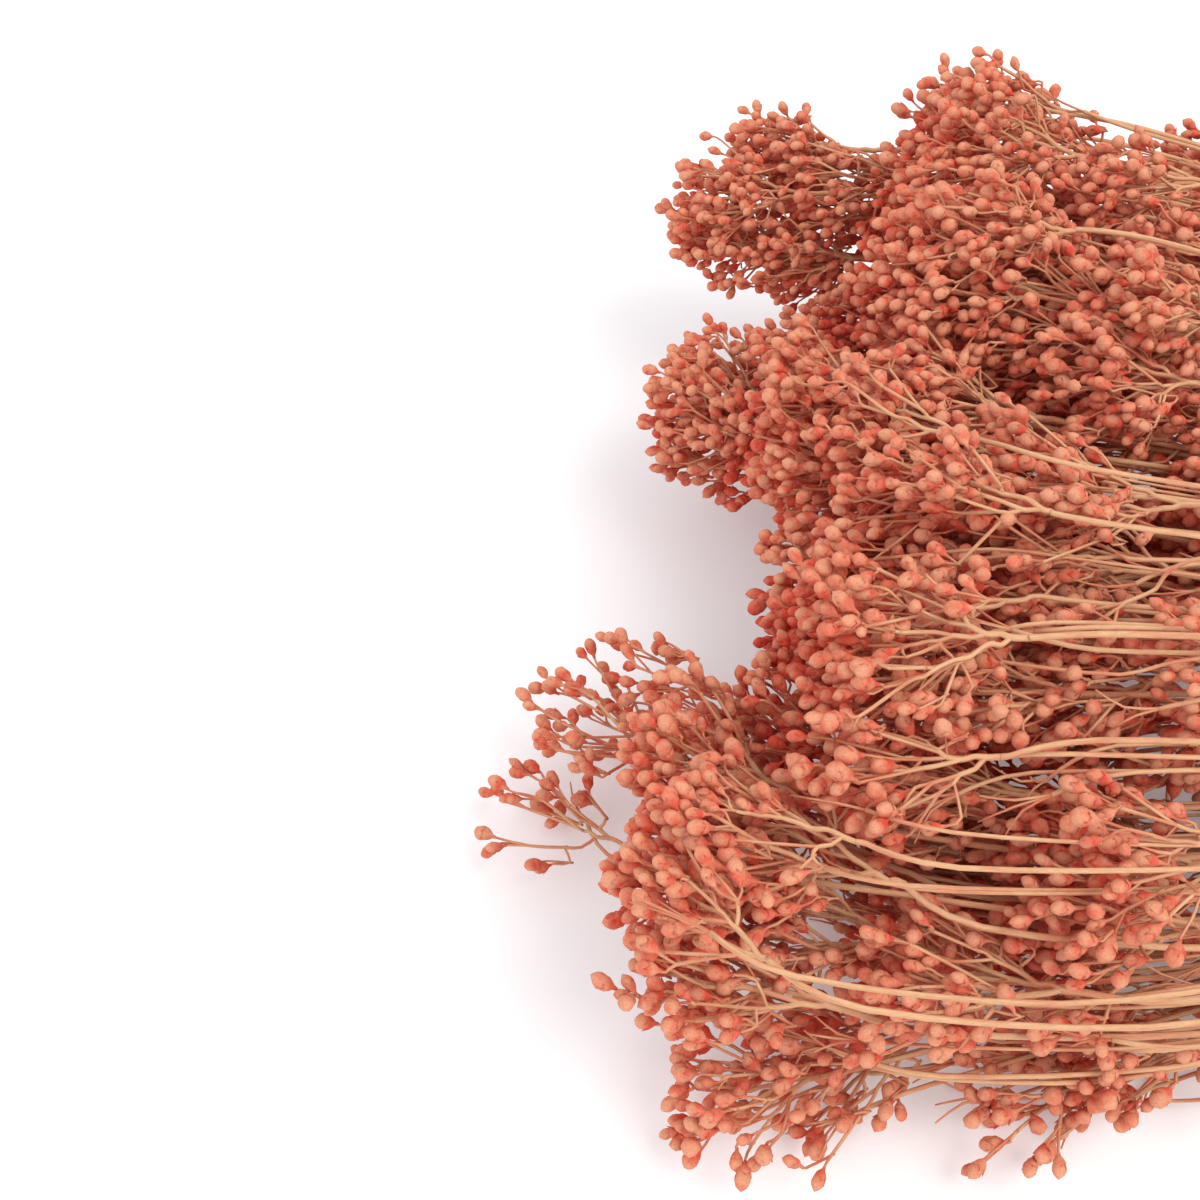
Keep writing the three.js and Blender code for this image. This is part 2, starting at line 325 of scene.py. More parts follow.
def make_stalk(material):
    """The stalk and rachis as one skin, with fine ridges along it and a cut end."""
    backs = np.arange(0, stalk_length, STALK_RING_STEP)
    turns = np.arange(STALK_SIDES) / STALK_SIDES * 2 * math.pi
    across = unit(np.cross(stalk_axis, (0, 0, 1)))
    upward = np.cross(stalk_axis, across)
    ring = np.cos(turns)[:, None] * across + np.sin(turns)[:, None] * upward
    grown = np.clip(backs / RACHIS_LENGTH, 0, 1)[:, None]
    ridges = sum(height * np.sin(count * turns + phase) for height, count, phase in RIDGES)
    sag = SAG_DEPTH * np.sin(backs[:, None] / SAG_LENGTH + 3 * turns)
    radii = stalk_radius(backs)[:, None] + ridges * np.maximum(grown, 0.2) + sag * grown
    rings = rachis_tip + backs[:, None, None] * stalk_axis + radii[:, :, None] * ring
    # the cut: a crisp rim, then pith that has shrunk back a little
    cut = rachis_tip + stalk_length * stalk_axis
    rim = []
    for share, depth in CUT_PROFILE:
        frayed = FRAY * np.sin(7 * turns + 9 * share) * np.sin(17 * turns) * (share > 0.8)
        rim.append(cut + (frayed - depth)[:, None] * stalk_axis + share * STALK_RADIUS * ring)
    rings = np.concatenate([rings, rim])
    ends = rachis_tip - END_DEPTH * stalk_axis, cut - END_DEPTH * stalk_axis
    corners = np.vstack([ends[0], rings.reshape(-1, 3), ends[1]])
    triangles, unrolled = skin_faces(len(rings), STALK_SIDES)
    along = (corners - rachis_tip).dot(stalk_axis)
    spoke = corners - rachis_tip - along[:, None] * stalk_axis
    fibre = spoke + along[:, None] * FIBRE_STRETCH * stalk_axis
    uptake = np.full(len(corners), STALK_UPTAKE)
    uptake[-3 * STALK_SIDES - 1 :] = PITH_UPTAKE
    attributes = [("fibre", "FLOAT_VECTOR", fibre), ("uptake", "FLOAT", uptake)]
    return make_mesh("cut_stalk", corners, triangles, material, attributes, unrolled)


stalk_dye = dyed_material(
    "dyed_stalk",
    srgb(214, 168, 128),
    srgb(170, 104, 74),
    patch_size=700,
    relief_depth=0.25 * MM,
    place="fibre",
)
stalk = make_stalk(stalk_dye)
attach(stalk, "root")
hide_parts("stalk")

# ---- How the head is laid out ----
# Each branch of the head ends in a cluster of sprays, side by side and one behind another. A spray
# opens like a broom from its first fork. Its seeds stand on its domed rim in twos, threes and fours,
# so the bare twigs of one spray show in front of the seeds of the next.
SEED_LENGTH = 4.2 * MM
SEED_RADIUS = 1.3 * MM
SEED_SIZES = (0.78, 1.12)
SEED_SPACING = 2.45 * MM
SPRAY_VOLUME = 6500 * MM**3  # the room in a cluster for each of its sprays
SPRAY_ROOM = 20 * MM  # from where a cluster starts to the middle of its first spray
SPRAY_LENGTH = (31 * MM, 44 * MM)
SPRAY_OPENING = (math.radians(32), math.radians(43))
SPRAY_FLATTEN = (0.4, 0.65)
MIDDLE_SHARE = 0.7  # how far along a spray its middle is
MIDDLE_TRIES = 1200
MIDDLE_DEPTH = 2.5 * MM
MIDDLE_CROWDING = 0.35  # how much closer sprays may be one behind another than side by side
RIM_CURVE = 0.4  # how much shorter a spray is at its sides than in its middle
RIM_SHARE = 0.74  # how many of the tufts stand at the rim. The others hang back inside
RIM_UNEVEN = 4  # how uneven the rim is, in mm
HANG_STEEP = 45  # how fast the others fall back, in mm,
HANG_FROM = 0.67  # past this share of the tufts
LOW_THROAT = 0.3  # how much of its length a low spray keeps clear of seeds
TOP_THROAT = 0.5  # and a top one, so that its bare twigs show
THROAT_SPREAD = 0.24
THROAT_CLEARANCE = 4.2 * MM
BARE_HEIGHTS = (-0.5 * MM, 35 * MM)  # no seed lies this high over a top spray's stem and twigs,
BARE_SHARES = (-2.4, 0.78)  # in this stretch of them, in lengths of the spray
BARE_STEM_WIDTH = 3 * MM
BARE_TWIGS_WIDTH = 2.5 * MM
BARE_TWIGS_SPREAD = 0.42
TUFT_SPACING = 4.35 * MM
TUFT_TRIES = 480
TUFT_REACH = 4.2 * MM
TUFT_SEEDS = (1, 2, 2, 3, 3, 4)
TUFT_SPREAD = 1.45  # in mm
TUFT_OUTSIDE = 3.5 * MM  # how far outside its cluster's shape a tuft may stand
STRAY_CHANCE = 0.03  # of a tuft that stands out past the others
STRAY_OUTSIDE = 6 * MM
SEED_TRIES = 6
MOST_SEEDS = 900  # the most that one branch carries
OPEN_CLUSTERS = {"low_tip": 1.9, "low_left": 1.5, "front_drooping": 1.2, "front_tuft": 1.6}
STEM_CLEARANCE = 2.0 * MM
RING_GAP = 3 * MM  # the least between two rings of corners of a stem's rod
APEX_BACK = 12 * MM  # how far before a cluster its sprays seem to spread from
LOWEST_FORK = 2.5 * MM
LOWEST_TWIG = 1 * MM
RESTING = 1.7 * MM  # the height of a seed's middle when it lies on the table
FLAT_BELOW = 4 * MM  # the seeds below this lie nearly flat
FACING = (0, -0.45, 0.9)  # which way the top of the pile faces, over its near side
TOP_SPRAYS = (
    # the branch, where the spray opens, and where its rim has its middle, in mm from near_left
    ("crown_fan", (71, -38, 80), (37, -36, 76)),
    ("front_right", (69, -80, 62), (31, -82, 58)),
    ("front_inner", (65, -54, 70), (36, -58, 67)),
    ("front_left", (26, -84, 59), (3, -70, 57)),
    ("crown_middle", (77, -18, 88), (48, -7, 85)),
    ("crown_behind", (66, -12, 74), (39, -4, 69)),
    ("crown_front", (99, -20, 78), (71, -23, 75)),
    ("crown_front", (85, -40, 73), (57, -44, 69)),
    ("front_middle", (41, -67, 65), (15, -56, 61)),
    ("crown_far", (73, 2, 86), (45, 22, 81)),
    ("crown_right", (128, 2, 80), (100, 4, 77)),
    ("front_right", (106, -66, 62), (78, -70, 60)),
)

branch_names = sorted(name[len("seeds_") :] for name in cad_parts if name.startswith("seeds_"))
dice = np.random.default_rng(20)


def stem_route(name):
    """The middle line of a branch's stem, from the rachis to inside its cluster."""
    corners = corners_of("stem_" + name)
    corners = corners[np.argsort(-corners[:, 0])]
    breaks = np.flatnonzero(-np.diff(corners[:, 0]) > RING_GAP) + 1
    return np.array([ring.mean(axis=0) for ring in np.split(corners, breaks)])


class Cluster:
    """The room that a cluster of sprays fills, from the outer shape that the frame gives it."""

    def __init__(self, name):
        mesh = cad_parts["seeds_" + name].data
        mesh.calc_loop_triangles()
        places = np.array([vertex.co for vertex in mesh.vertices])
        faces = places[[list(triangle.vertices) for triangle in mesh.loop_triangles]]
        self.low, self.high = places.min(axis=0), places.max(axis=0)
        self.volume = np.einsum("ij,ij->i", faces[:, 0], np.cross(faces[:, 1], faces[:, 2])).sum() / 6
        corners = [Vector(corner) for corner in faces.reshape(-1, 3)]
        triples = [(k, k + 1, k + 2) for k in range(0, len(corners), 3)]
        self.tree = BVHTree.FromPolygons(corners, triples)
        self.route = stem_route(name)
        self.axis = unit(self.route[-1] - self.route[-2])
        reaches = places.dot(self.axis)
        self.start, self.end = reaches.min(), reaches.max()
        back = self.start - self.route[-1].dot(self.axis)
        self.apex = self.route[-1] + self.axis * (back - APEX_BACK)
        self.openness = OPEN_CLUSTERS.get(name, 1)
        self.seeds = 0

    def depth(self, place):
        """How far inside the cluster a place is, or how far outside if it is negative."""
        nearest, normal, _, distance = self.tree.find_nearest(Vector(place))
        return distance if (Vector(place) - nearest).dot(normal) < 0 else -distance

    def share(self, place):
        """How far along the cluster a place is, from 0 at its stem to 1 at its outer end."""
        return (place.dot(self.axis) - self.start) / (self.end - self.start)


def grid_cell(place, size):
    """The cell of a grid that a place is in."""
    return tuple(np.floor(place / size).astype(int))


class Crowd:
    """Points in a grid, to ask whether any is too close to a new one."""

    def __init__(self, size):
        self.size = size
        self.cells = {}

    def add(self, place):
        """Puts a point in its cell."""
        self.cells.setdefault(grid_cell(place, self.size), []).append(place)

    def holds(self, place, reach):
        """Whether a point is within reach of a place."""
        x, y, z = grid_cell(place, self.size)
        for dx in (-1, 0, 1):
            for dy in (-1, 0, 1):
                for dz in (-1, 0, 1):
                    for other in self.cells.get((x + dx, y + dy, z + dz), ()):
                        gap = place - other
                        if gap.dot(gap) < reach * reach:
                            return True
        return False


stems_here = Crowd(STEM_CLEARANCE)
throats_here = Crowd(THROAT_CLEARANCE)
seeds_here = Crowd(SEED_SPACING * SEED_SIZES[1])
tufts_here = Crowd(TUFT_SPACING * max(OPEN_CLUSTERS.values()))


def between(limits):
    """A random value between two limits."""
    return limits[0] + (limits[1] - limits[0]) * dice.random()


def spray_middles(cluster, taken):
    """Where a cluster's sprays have their middles: well apart, well inside, and off those taken."""
    least = min(SPRAY_ROOM / (cluster.end - cluster.start), 0.5)
    candidates = cluster.low + (cluster.high - cluster.low) * dice.random((MIDDLE_TRIES, 3))
    inside = [cluster.depth(place) > MIDDLE_DEPTH for place in candidates]
    past_stem = [cluster.share(place) > least for place in candidates]
    candidates = candidates[np.logical_and(inside, past_stem)]
    count = max(2, round(cluster.volume / SPRAY_VOLUME / cluster.openness))
    chosen = list(taken)
    if not chosen:
        chosen.append(candidates[np.argmax([cluster.share(place) for place in candidates])])
    while len(chosen) < count:
        away = candidates[None] - np.array(chosen)[:, None]
        along = away.dot(cluster.axis)[:, :, None] * cluster.axis
        gaps = np.linalg.norm(away - along * MIDDLE_CROWDING, axis=2).min(axis=0)
        chosen.append(candidates[np.argmax(gaps)])
    return chosen[len(taken) :]


class Spray:
    """One broom of twigs: where it opens from, which way it points, and its tufts of seeds."""

    def __init__(self, cluster, fork, heading, length, facing=None):
        self.cluster = cluster
        self.fork, self.heading, self.length = fork, heading, length
        self.middle = fork + MIDDLE_SHARE * length * heading
        self.opening = between(SPRAY_OPENING)
        throat = TOP_THROAT
        if facing is None:
            facing = (0, 0, 1) + 0.3 * dice.normal(size=3)
            throat = LOW_THROAT
        self.across = unit(np.cross(heading, facing))
        self.upward = np.cross(self.across, heading)
        self.flatten = between(SPRAY_FLATTEN)
        self.tufts = []
        for spread in (-THROAT_SPREAD, 0, THROAT_SPREAD):
            way = heading + spread * self.across
            for share in np.linspace(-0.3, throat, 12):
                throats_here.add(fork + share * length * way)

    def covers(self, place):
        """Whether a place is over this spray's twigs or its stem, where a seed would hide them."""
        away = place - self.fork
        along, aside = away.dot(self.heading) / self.length, abs(away.dot(self.across))
        over = BARE_HEIGHTS[0] < away.dot(self.upward) < BARE_HEIGHTS[1]
        if not over or not BARE_SHARES[0] < along < BARE_SHARES[1]:
            return False
        if along < 0:
            return aside < BARE_STEM_WIDTH
        return aside < BARE_TWIGS_WIDTH + BARE_TWIGS_SPREAD * along * self.length

    def fill(self):
        """Adds tufts of seeds until the spray has no more room, or its branch no more seeds."""
        for _ in range(TUFT_TRIES):
            if self.cluster.seeds < MOST_SEEDS:
                self.try_tuft()

    def try_tuft(self):
        """Adds a tuft of seeds at a free place near the rim, if there is one."""
        turn, open_share, depth, stray = dice.random(4)
        tilt = self.opening * math.sqrt(open_share)
        turn *= 2 * math.pi
        aside = math.cos(turn) * self.across + self.flatten * math.sin(turn) * self.upward
        outward = unit(self.heading + math.tan(tilt) * aside)
        reach = self.length * (1 - RIM_CURVE * open_share * math.cos(turn) ** 2)
        hangs_back = RIM_UNEVEN * depth if depth < RIM_SHARE else HANG_STEEP * (depth - HANG_FROM)
        reach -= hangs_back * MM
        outside = TUFT_OUTSIDE
        if stray < STRAY_CHANCE:
            reach = self.length * (1.04 + 2 * stray)
            outside = STRAY_OUTSIDE
        place = self.fork + reach * outward
        cluster = self.cluster
        if place[2] < RESTING or cluster.depth(place) < -outside:
            return
        if tufts_here.holds(place, TUFT_SPACING * cluster.openness):
            return
        if stems_here.holds(place, STEM_CLEARANCE) or throats_here.holds(place, THROAT_CLEARANCE):
            return
        if any(spray.covers(place) for spray in top_sprays):
            return
        heading = unit(outward + 0.3 * self.heading + 0.15 * dice.normal(size=3))
        foot = place - TUFT_REACH * cluster.openness * heading
        foot[2] = max(foot[2], LOWEST_TWIG)
        seeds = [self.try_seed(place, heading) for _ in range(dice.choice(TUFT_SEEDS))]
        seeds = [seed for seed in seeds if seed is not None]
        if seeds:
            tufts_here.add(place)
            cluster.seeds += len(seeds)
            self.tufts.append((foot, heading, seeds))

    def try_seed(self, middle, heading):
        """A free place for one more seed in a tuft, with the way it points and its size."""
        for _ in range(SEED_TRIES):
            off = dice.normal(size=3) * TUFT_SPREAD
            place = middle + off * MM
            place[2] = max(place[2], RESTING)
            scale = between(SEED_SIZES)
            if seeds_here.holds(place, SEED_SPACING * scale):
                continue
            seeds_here.add(place)
            aim = unit(heading + 0.22 * off + 0.22 * dice.normal(size=3))
            if place[2] < FLAT_BELOW:
                aim = unit(aim * (1, 1, 0.3))
            return place, aim, scale
        return None


clusters = {name: Cluster(name) for name in branch_names}
for cluster in clusters.values():
    for start, end in zip(cluster.route, cluster.route[1:]):
        for share in np.linspace(0, 1, 14):
            stems_here.add(start + share * (end - start))
sprays_of = {name: [] for name in branch_names}
for name, fork, rim in TOP_SPRAYS:
    fork, rim = near_left + np.array(fork) * MM, near_left + np.array(rim) * MM
    length = np.linalg.norm(rim - fork)
    sprays_of[name].append(Spray(clusters[name], fork, (rim - fork) / length, length, FACING))
top_sprays = [spray for sprays in sprays_of.values() for spray in sprays]
for name, cluster in clusters.items():
    for middle in spray_middles(cluster, [spray.middle for spray in sprays_of[name]]):
        length = between(SPRAY_LENGTH)
        outward = unit(middle - cluster.apex) * (1, 1, 0.5)
        heading = unit(cluster.axis + 0.6 * outward + 0.09 * dice.normal(size=3))
        fork = middle - MIDDLE_SHARE * length * heading
        fork[2] = max(fork[2], LOWEST_FORK)
        sprays_of[name].append(Spray(cluster, fork, heading, length))
for spray in top_sprays:
    spray.fill()
for name, sprays in sprays_of.items():
    for spray in sprays:
        if spray not in top_sprays:
            spray.fill()
    sprays_of[name] = [spray for spray in sprays if spray.tufts]

# the top of the pile, in columns: the further under it a twig or seed lies, the more of the full dye
# it gets, as painted shade
COLUMN = 6 * MM
TOP_COLUMNS = 110
SHADE_DEPTH = 26 * MM
tops = np.zeros((TOP_COLUMNS, TOP_COLUMNS))
columns_from = cad_low.x - 20 * MM, cad_low.y - 60 * MM


def column_of(places):
    """Which column a place is in, looking down the way that the top of the pile faces."""
    shifted_y = places[:, 1] - places[:, 2] * FACING[1] / FACING[2]
    across = (places[:, 0] - columns_from[0]) / COLUMN
    away = (shifted_y - columns_from[1]) / COLUMN
    return tuple(np.clip(cell, 0, TOP_COLUMNS - 1).astype(int) for cell in (across, away))


def depth_shade(places):
    """How far under the top of the pile places are, from 0 to 1, which sets how much painted shade
    they get.
    """
    return np.clip((tops[column_of(places)] - places[:, 2]) / SHADE_DEPTH, 0, 1)


all_sprays = [spray for sprays in sprays_of.values() for spray in sprays]
all_seeds = [seed for spray in all_sprays for _, _, seeds in spray.tufts for seed in seeds]
seed_places = np.array([place for place, _, _ in all_seeds])
np.maximum.at(tops, column_of(seed_places), seed_places[:, 2])

# ---- The branches, stems and twigs ----
# A branch leaves the rachis as one stem and soon splits into long thin stems that run side by side.
# Each ends in a spray: it forks again and again, a little thinner each time, and the last twigs,
# the pedicels, carry one seed each. Thick stems dried to a straw tan, and thin ones took the dye.
PEDICEL_RADIUS = 0.24 * MM
TWIG_TAPER = 0.21  # a twig's radius goes with the number of seeds that it feeds, to this power
BRANCH_RADIUS = 0.95 * MM
FORK_REACH = 3.1  # how far before its seeds a twig forks, in spreads of those seeds
FORK_STRAY = 0.05
FORK_SHARES = (0.32, 0.68)  # of its tufts that a fork sends one way
KNUCKLE = 1.08  # how much a twig thickens where it forks
OVERLAP = 0.8 * MM  # how far a twig starts inside the one that it leaves
BOW = 0.3
BOW_FROM = 3 * MM  # the shortest stretch that bows
STUB_CHANCE = 0.12  # of a broken pedicel at a fork
STUB_LENGTH = (1.5, 4.5)  # in mm


def twig_radius(fed):
    """How thick a twig is that feeds so many seeds."""
    return PEDICEL_RADIUS * fed**TWIG_TAPER


def halves(points, heading):
    """Splits points in two across their widest spread, near the middle."""
    spread = points - points.mean(axis=0)
    spread = spread - 0.5 * spread.dot(heading)[:, None] * heading
    widest = np.linalg.svd(spread, full_matrices=False)[2][0]
    order = np.argsort(spread.dot(widest), kind="stable")
    part = int(round(len(points) * dice.uniform(*FORK_SHARES)))
    part = min(max(part, 1), len(points) - 1)
    return order[:part], order[part:]


class Twigs:
    """The twigs of one branch, as lines with a radius at each point."""

    def __init__(self):
        self.lines = []

    def line(self, *points):
        """Starts a new twig with these places and radii, and hands it back to be run on."""
        self.lines.append([(np.array(place), radius) for place, radius in points])
        return self.lines[-1]

    def end_in_seeds(self, line, foot, heading, seeds):
        """Runs a line to a tuft's foot, and a pedicel from there to each of its seeds."""
        line.append((foot, twig_radius(len(seeds)) * 1.1))
        for place, aim, scale in seeds:
            base = place - 0.5 * SEED_LENGTH * scale * aim
            if line is None:
                line = self.line((foot - 0.5 * MM * heading, PEDICEL_RADIUS), (foot, PEDICEL_RADIUS))
            line.append((base - 1.0 * MM * aim, PEDICEL_RADIUS))
            line.append((base + 0.2 * MM * aim, PEDICEL_RADIUS * 1.1))
            line = None

    def grow(self, line, here, heading, tufts):
        """Runs a line on from here to these tufts, forking where they spread."""
        if len(tufts) == 1:
            self.end_in_seeds(line, *tufts[0])
            return
        feet = np.array([foot for foot, _, _ in tufts])
        fed = sum(len(seeds) for _, _, seeds in tufts)
        way = feet.mean(axis=0) - here
        distance = np.linalg.norm(way) + 1e-6
        away = feet - feet.mean(axis=0)
        aside = away - away.dot(heading)[:, None] * heading
        spread = math.sqrt((aside**2).sum() / len(tufts)) + 0.3 * MM
        reach = np.clip(distance - FORK_REACH * spread, 0.2 * distance, 0.8 * distance)
        step = way * reach / distance
        fork = here + step + dice.normal(size=3) * FORK_STRAY * reach
        if reach > BOW_FROM:
            bow = BOW * (step - step.dot(heading) * heading)
            line.append((here + 0.45 * step + bow, twig_radius(fed)))
        forward = unit(way / distance + 0.5 * heading)
        line.append((fork, KNUCKLE * twig_radius(fed)))
        first, second = ([tufts[k] for k in half] for half in halves(feet, forward))
        if len(first) > len(second):
            first, second = second, first
        if dice.random() < STUB_CHANCE:
            side = unit(forward + dice.normal(size=3) * 0.4)
            thin = PEDICEL_RADIUS * 0.8
            tip = fork + side * dice.uniform(*STUB_LENGTH) * MM
            self.line((fork, thin), (tip, thin * 0.7))
        start = fork - OVERLAP * forward
        thin = twig_radius(sum(len(seeds) for _, _, seeds in first))
        self.grow(self.line((start, 0.7 * thin), (fork, thin)), fork, forward, first)
        self.grow(line, fork, forward, second)


def along_route(route, backwards):
    """The points of a route at distances back from its end."""
    steps = np.linalg.norm(np.diff(route, axis=0), axis=1)
    place = np.concatenate([[0], np.cumsum(steps)])
    wanted = place[-1] - backwards
    return np.stack([np.interp(wanted, place, route[:, k]) for k in range(3)], -1)


def finer_route(route):
    """A route with a point added between each two, curved through all of them."""
    ends = np.vstack([2 * route[0] - route[1], route, 2 * route[-1] - route[-2]])
    finer = np.empty((2 * len(route) - 1, 3))
    finer[0::2] = route
    finer[1::2] = (9 * (ends[1:-2] + ends[2:-1]) - ends[:-3] - ends[3:]) / 16
    return finer


STEM_POINTS = 10
STEM_HUDDLE = 0.16  # how closely a branch's stems start, as a share of how far apart they end
STEM_STAGGER = 0.025  # how much later each next stem starts, as a share of the branch
STEM_SHORT = 16 * MM  # how far before its spray a stem leaves the run of the branch
STEM_AIM = 14 * MM  # how far before its spray it points straight into it
STEM_WANDER = 0.45 * MM
LOWEST_STEM = 1.3 * MM
LOWEST_SPENT = 2 * MM
SPENT_STEMS = 8  # thin stems of each branch that carry no seeds any more
SPENT_FED = (3, 30)  # the seeds that one fed, which says how thick it is
SPENT_STRAY = 5 * MM
SPENT_DROP = 7 * MM  # how far under a spray it ends
SPENT_FORKS = 3
SPENT_FORK_LENGTH = (5, 13)  # in mm
ROOT_SLANT = 10 * MM  # how far a branch runs along the rachis as it leaves it


def stem_points(route, target, heading, number):
    """A stem that starts with the branch's others on the rachis and comes to a target."""
    length = np.linalg.norm(np.diff(route, axis=0), axis=1).sum()
    end, axis = route[-1], unit(route[-1] - route[-2])
    back = max((end - target).dot(axis), 0) + STEM_SHORT
    rank = np.linspace(0, 1, STEM_POINTS)[:, None]
    start = length * (1 - STEM_STAGGER * number)
    points = along_route(route, np.linspace(start, back, STEM_POINTS))
    aside = target - STEM_AIM * heading - points[-1]
    huddle = STEM_HUDDLE * np.clip(6 * rank, 0, 1)
    points = points + aside * (huddle + (1 - STEM_HUDDLE) * rank**1.7)
    points += dice.normal(size=(STEM_POINTS, 3)) * STEM_WANDER * np.sin(math.pi * rank)
    points[:, 2] = np.maximum(points[:, 2], LOWEST_STEM)
    return points


def spent_stem(twigs, spray, route, number):
    """A thin stem that lost its seeds, ending in a few bare forks beside and under a spray."""
    target = spray.fork + SPENT_STRAY * dice.normal(size=3) - (0, 0, SPENT_DROP)
    target[2] = max(target[2], LOWEST_SPENT)
    heading = unit(spray.heading + 0.15 * dice.normal(size=3))
    radius = twig_radius(dice.integers(*SPENT_FED))
    points = stem_points(route, target, heading, number)
    line = twigs.line(*zip(points, np.full(STEM_POINTS, radius)))
    line.append((target, radius))
    for _ in range(SPENT_FORKS):
        lean = unit(heading + 0.28 * dice.normal(size=3))
        reach = dice.uniform(*SPENT_FORK_LENGTH) * MM
        tip = target + reach * lean
        tip[2] = max(tip[2], LOWEST_TWIG)
        bend = target + 0.5 * reach * unit(heading + lean)
        bend[2] = max(bend[2], LOWEST_TWIG)
        thin = PEDICEL_RADIUS
        twigs.line((target - 0.6 * MM * heading, thin), (bend, thin), (tip, 0.6 * thin))


def branch_twigs(name):
    """Every twig of a branch: its stems from the rachis to their sprays, and the sprays."""
    cluster = clusters[name]
    route = finer_route(finer_route(cluster.route))
    twigs = Twigs()

    def off_axis(spray):
        return np.linalg.norm(np.cross(spray.fork - route[-1], cluster.axis))

    sprays = sorted(sprays_of[name], key=off_axis)
    for number, spray in enumerate(sprays):
        points = stem_points(route, spray.fork, spray.heading, number)
        radius = twig_radius(sum(len(seeds) for _, _, seeds in spray.tufts))
        if number:
            line = twigs.line(*zip(points, np.full(STEM_POINTS, radius)))
        else:
            thinner = np.clip(np.linspace(0, 2.2, STEM_POINTS), 0, 1)
            radii = BRANCH_RADIUS + (radius - BRANCH_RADIUS) * thinner
            radii[0] *= 1.3
            root_back = (route[0] - rachis_tip).dot(stalk_axis) + ROOT_SLANT
            root = rachis_tip + root_back * stalk_axis
            line = twigs.line((root, BRANCH_RADIUS * 0.8), *zip(points, radii))
        line.append((spray.fork, radius))
        twigs.grow(line, spray.fork, spray.heading, spray.tufts)
    for number in range(SPENT_STEMS):
        beside = sprays[dice.integers(len(sprays))]
        spent_stem(twigs, beside, route, len(sprays) + number)
    return twigs.lines


TWIG_SIDES = 5
TWIG_TURNS = np.arange(TWIG_SIDES) / TWIG_SIDES * 2 * math.pi
TWIG_COSINES, TWIG_SINES = np.cos(TWIG_TURNS), np.sin(TWIG_TURNS)
LONG_LINE = 9  # the lines with more points than this are smoothed twice
STRIP_WIDTH = 2.4 * MM  # about how far it is around a twig
STRIP_MARGIN = (0.01, 0.06)  # what a twig's map leaves free in its strip, at the ends and the sides
GRAIN_APART = 7 * MM  # between the grain of one twig and that of the next
GRAIN_STRETCH = 0.12  # how little the grain changes along a twig
STOUT_FED = 12  # a twig that feeds so many seeds is stout enough to stay the colour of straw
PEDICEL_UPTAKE = 0.5
STOUT_UPTAKE = 0.05
DEPTH_SHADE_UPTAKE = 0.5  # extra dye painted in as shade at the bottom of the pile, over what the top gets


@functools.cache
def twig_faces(rings):
    """The triangles of a twig with so many rings, and where they lie unrolled."""
    return skin_faces(rings, TWIG_SIDES)


def tube_rings(line):
    """The rings of a smooth tube along a line, with their radii and places."""
    places = np.array([place for place, _ in line])
    radii = np.array([radius for _, radius in line])
    for _ in range(2 if len(line) > LONG_LINE else 1):
        places = finer_route(places)
        sizes = np.empty(len(places))
        sizes[0::2], sizes[1::2] = radii, (radii[1:] + radii[:-1]) / 2
        radii = sizes
    ahead = np.gradient(places, axis=0)
    ahead /= np.linalg.norm(ahead, axis=1)[:, None]
    side = np.zeros(3)
    side[np.argmin(np.abs(places[-1] - places[0]))] = 1
    first = np.cross(ahead, side)
    first /= np.linalg.norm(first, axis=1)[:, None]
    second = np.cross(ahead, first)
    spokes = TWIG_COSINES[:, None] * first[:, None] + TWIG_SINES[:, None] * second[:, None]
    return places[:, None] + radii[:, None, None] * spokes, radii, places


def pack_strips(lengths):
    """Where each twig's strip lies on a square map: its left end, its row and its length."""
    rows = math.ceil(math.sqrt(lengths.sum() / STRIP_WIDTH) * 1.04) + 1
    wanted = np.minimum(lengths / (rows * STRIP_WIDTH), 1)
    lefts, levels = np.empty(len(lengths)), np.empty(len(lengths))
    left, level = 0.0, 0
    for number in np.argsort(-wanted, kind="stable"):
        if left + wanted[number] > 1:
            left, level = 0.0, level + 1
        lefts[number], levels[number] = left, level
        left += wanted[number]
    return lefts, levels / (level + 1), wanted, 1 / (level + 1)


